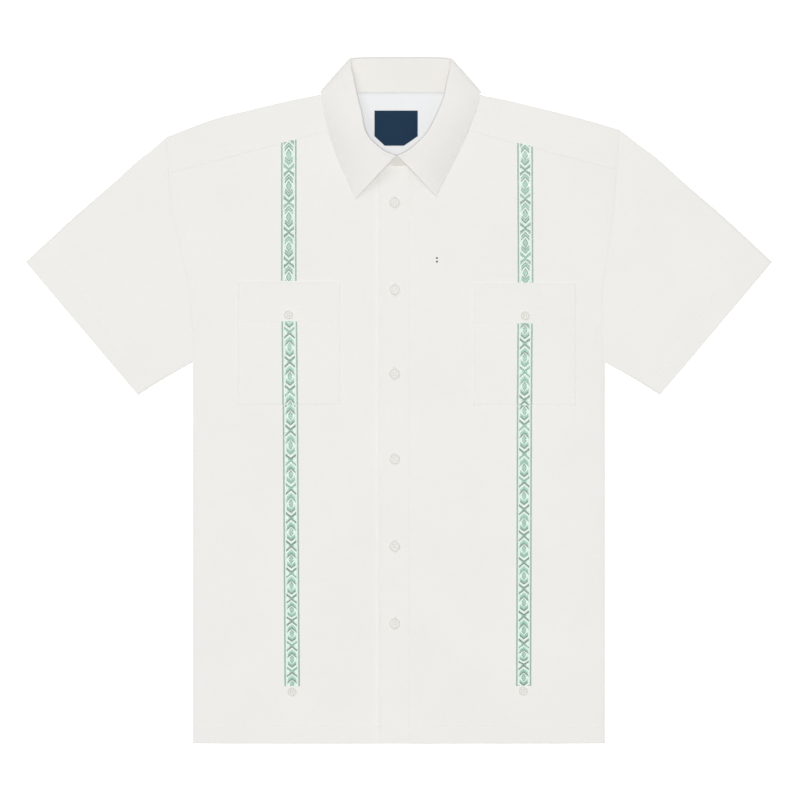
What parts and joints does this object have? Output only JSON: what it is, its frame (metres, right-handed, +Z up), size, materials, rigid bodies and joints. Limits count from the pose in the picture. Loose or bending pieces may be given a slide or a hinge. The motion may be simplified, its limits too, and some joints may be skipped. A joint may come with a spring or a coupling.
{
  "type": "guayabera shirt",
  "caption": "Short-sleeved guayabera shirt laid flat and buttoned, with a pointed collar, yoke, chest pockets and embroidered bands down both fronts.",
  "frame": {"origin": "on the surface under the middle of the laid shirt's outline", "axes": "+X towards the wearer's left sleeve, +Y towards the collar, +Z up out of the shirt's front"},
  "size_m": [0.869, 0.8004, 0.0295],
  "materials": {
    "cloth": "off-white plain-woven cotton and linen, matte",
    "embroidery": "mint and sage machine embroidery with a slight sheen",
    "label": "navy damask label, bare",
    "button": "pearly white, polished"
  },
  "bodies": {
    "root": {"back": "cloth", "yoke": "cloth", "front_right": "cloth", "front_left": "cloth", "placket": "cloth", "sleeve_right": "cloth", "sleeve_left": "cloth", "collar_stand": "cloth", "collar_leaf": "cloth", "pocket_right": "cloth", "pocket_left": "cloth", "band_upper_right": "embroidery", "band_pocket_right": "embroidery", "band_lower_right": "embroidery", "band_upper_left": "embroidery", "band_pocket_left": "embroidery", "band_lower_left": "embroidery", "label": "label", "placket_button_1": "button", "placket_button_2": "button", "placket_button_3": "button", "placket_button_4": "button", "placket_button_5": "button", "placket_button_6": "button", "pocket_button_right": "button", "pocket_button_left": "button", "hem_button_right": "button", "hem_button_left": "button"}
  },
  "joints": []
}
